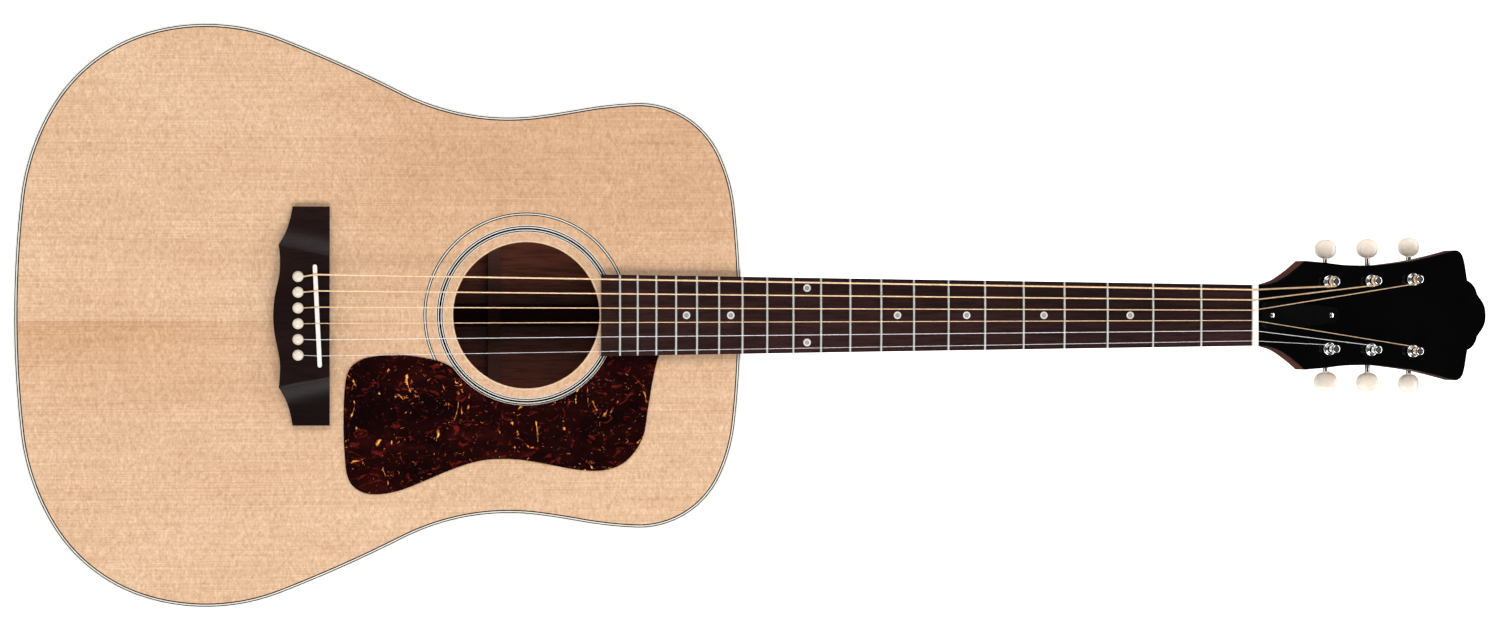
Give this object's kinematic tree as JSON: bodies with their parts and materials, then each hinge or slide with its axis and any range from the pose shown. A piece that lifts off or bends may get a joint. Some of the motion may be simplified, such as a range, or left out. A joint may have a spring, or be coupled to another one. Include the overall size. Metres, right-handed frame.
{
  "type": "acoustic guitar",
  "caption": "Steel-string acoustic guitar with dreadnought body, spruce top, tortoise pickguard, pin bridge, black headstock and open-gear tuners whose keys turn the string posts.",
  "frame": {"origin": "middle of the flat back face of the body, on the centreline", "axes": "+X from the body towards the headstock, +Y to the bass side, +Z from the back to the soundboard; the guitar lies on its back"},
  "size_m": [1.0424, 0.3984, 0.1281],
  "materials": {
    "spruce": "clear gloss lacquer over quarter-sawn spruce",
    "brace_spruce": "bare planed spruce",
    "mahogany": "gloss lacquer over dark red-brown mahogany",
    "neck_mahogany": "satin lacquer over mahogany",
    "block_mahogany": "bare mahogany",
    "rosewood": "oiled dark rosewood",
    "black_gloss": "black veneer under gloss lacquer",
    "black_plastic": "polished black plastic",
    "ivory_binding": "aged ivory-white plastic with black and white purfling",
    "rosette_inlay": "black and white inlaid lines under lacquer",
    "tortoise": "dark tortoiseshell plastic with amber flecks",
    "bone": "polished bone",
    "cream_plastic": "cream plastic",
    "pearl": "mother-of-pearl style dots",
    "nickel_silver": "polished nickel silver",
    "bronze_wound": "bronze-wound steel string",
    "plain_steel": "plain drawn steel string",
    "nickel": "polished nickel plate",
    "steel": "plain steel"
  },
  "bodies": {
    "guitar": {"back_braces": "brace_spruce", "back_plate": "mahogany", "bindings": "ivory_binding", "bridge": "rosewood", "bridge_pins": "cream_plastic", "bridge_plate": "brace_spruce", "fingerboard": "rosewood", "frets": "nickel_silver", "headstock_veneer": "black_gloss", "heel_cap": "black_plastic", "linings": "brace_spruce", "neck": "neck_mahogany", "neck_block": "block_mahogany", "nut": "bone", "pickguard": "tortoise", "position_dots": "pearl", "rosette": "rosette_inlay", "saddle": "bone", "sides": "mahogany", "small_screws": "nickel", "soundboard": "spruce", "strings_plain": "plain_steel", "strings_wound": "bronze_wound", "tail_block": "block_mahogany", "top_braces": "brace_spruce", "truss_rod": "steel", "truss_rod_cover": "black_plastic", "tuner_baseplates": "nickel", "tuner_bushings": "nickel"},
    "tuner_1_key": {"tuner_1_button": "cream_plastic", "tuner_1_worm": "nickel"},
    "tuner_1_capstan": {"tuner_1_gear": "nickel", "tuner_1_post": "nickel", "tuner_1_winding": "bronze_wound"},
    "tuner_2_key": {"tuner_2_button": "cream_plastic", "tuner_2_worm": "nickel"},
    "tuner_2_capstan": {"tuner_2_gear": "nickel", "tuner_2_post": "nickel", "tuner_2_winding": "bronze_wound"},
    "tuner_3_key": {"tuner_3_button": "cream_plastic", "tuner_3_worm": "nickel"},
    "tuner_3_capstan": {"tuner_3_gear": "nickel", "tuner_3_post": "nickel", "tuner_3_winding": "bronze_wound"},
    "tuner_4_key": {"tuner_4_button": "cream_plastic", "tuner_4_worm": "nickel"},
    "tuner_4_capstan": {"tuner_4_gear": "nickel", "tuner_4_post": "nickel", "tuner_4_winding": "bronze_wound"},
    "tuner_5_key": {"tuner_5_button": "cream_plastic", "tuner_5_worm": "nickel"},
    "tuner_5_capstan": {"tuner_5_gear": "nickel", "tuner_5_post": "nickel", "tuner_5_winding": "plain_steel"},
    "tuner_6_key": {"tuner_6_button": "cream_plastic", "tuner_6_worm": "nickel"},
    "tuner_6_capstan": {"tuner_6_gear": "nickel", "tuner_6_post": "nickel", "tuner_6_winding": "plain_steel"}
  },
  "joints": [
    {"name": "tuner_1_key_turn", "type": "hinge", "parent": "guitar", "child": "tuner_1_key", "pos_m": [0.67316, 0.0238, 0.05923], "axis": [0, 1, 0], "continuous": true},
    {"name": "tuner_1_post_turn", "type": "hinge", "parent": "guitar", "child": "tuner_1_capstan", "pos_m": [0.67094, 0.0238, 0.0786], "axis": [0.277, 0, 0.9609], "continuous": true},
    {"name": "tuner_2_key_turn", "type": "hinge", "parent": "guitar", "child": "tuner_2_key", "pos_m": [0.70592, 0.0245, 0.04978], "axis": [0, 1, 0], "continuous": true},
    {"name": "tuner_2_post_turn", "type": "hinge", "parent": "guitar", "child": "tuner_2_capstan", "pos_m": [0.7037, 0.0245, 0.06915], "axis": [0.277, 0, 0.9609], "continuous": true},
    {"name": "tuner_3_key_turn", "type": "hinge", "parent": "guitar", "child": "tuner_3_key", "pos_m": [0.73869, 0.0257, 0.04034], "axis": [0, 1, 0], "continuous": true},
    {"name": "tuner_3_post_turn", "type": "hinge", "parent": "guitar", "child": "tuner_3_capstan", "pos_m": [0.73647, 0.0257, 0.05971], "axis": [0.277, 0, 0.9609], "continuous": true},
    {"name": "tuner_4_key_turn", "type": "hinge", "parent": "guitar", "child": "tuner_4_key", "pos_m": [0.73869, -0.0257, 0.04034], "axis": [0, -1, 0], "continuous": true},
    {"name": "tuner_4_post_turn", "type": "hinge", "parent": "guitar", "child": "tuner_4_capstan", "pos_m": [0.73647, -0.0257, 0.05971], "axis": [0.277, 0, 0.9609], "continuous": true},
    {"name": "tuner_5_key_turn", "type": "hinge", "parent": "guitar", "child": "tuner_5_key", "pos_m": [0.70592, -0.0245, 0.04978], "axis": [0, -1, 0], "continuous": true},
    {"name": "tuner_5_post_turn", "type": "hinge", "parent": "guitar", "child": "tuner_5_capstan", "pos_m": [0.7037, -0.0245, 0.06915], "axis": [0.277, 0, 0.9609], "continuous": true},
    {"name": "tuner_6_key_turn", "type": "hinge", "parent": "guitar", "child": "tuner_6_key", "pos_m": [0.67316, -0.0238, 0.05923], "axis": [0, -1, 0], "continuous": true},
    {"name": "tuner_6_post_turn", "type": "hinge", "parent": "guitar", "child": "tuner_6_capstan", "pos_m": [0.67094, -0.0238, 0.0786], "axis": [0.277, 0, 0.9609], "continuous": true}
  ],
  "couplings": [
    {"joint": "tuner_1_post_turn", "follows": "tuner_1_key_turn", "ratio": -0.071429},
    {"joint": "tuner_2_post_turn", "follows": "tuner_2_key_turn", "ratio": -0.071429},
    {"joint": "tuner_3_post_turn", "follows": "tuner_3_key_turn", "ratio": -0.071429},
    {"joint": "tuner_4_post_turn", "follows": "tuner_4_key_turn", "ratio": 0.071429},
    {"joint": "tuner_5_post_turn", "follows": "tuner_5_key_turn", "ratio": 0.071429},
    {"joint": "tuner_6_post_turn", "follows": "tuner_6_key_turn", "ratio": 0.071429}
  ]
}
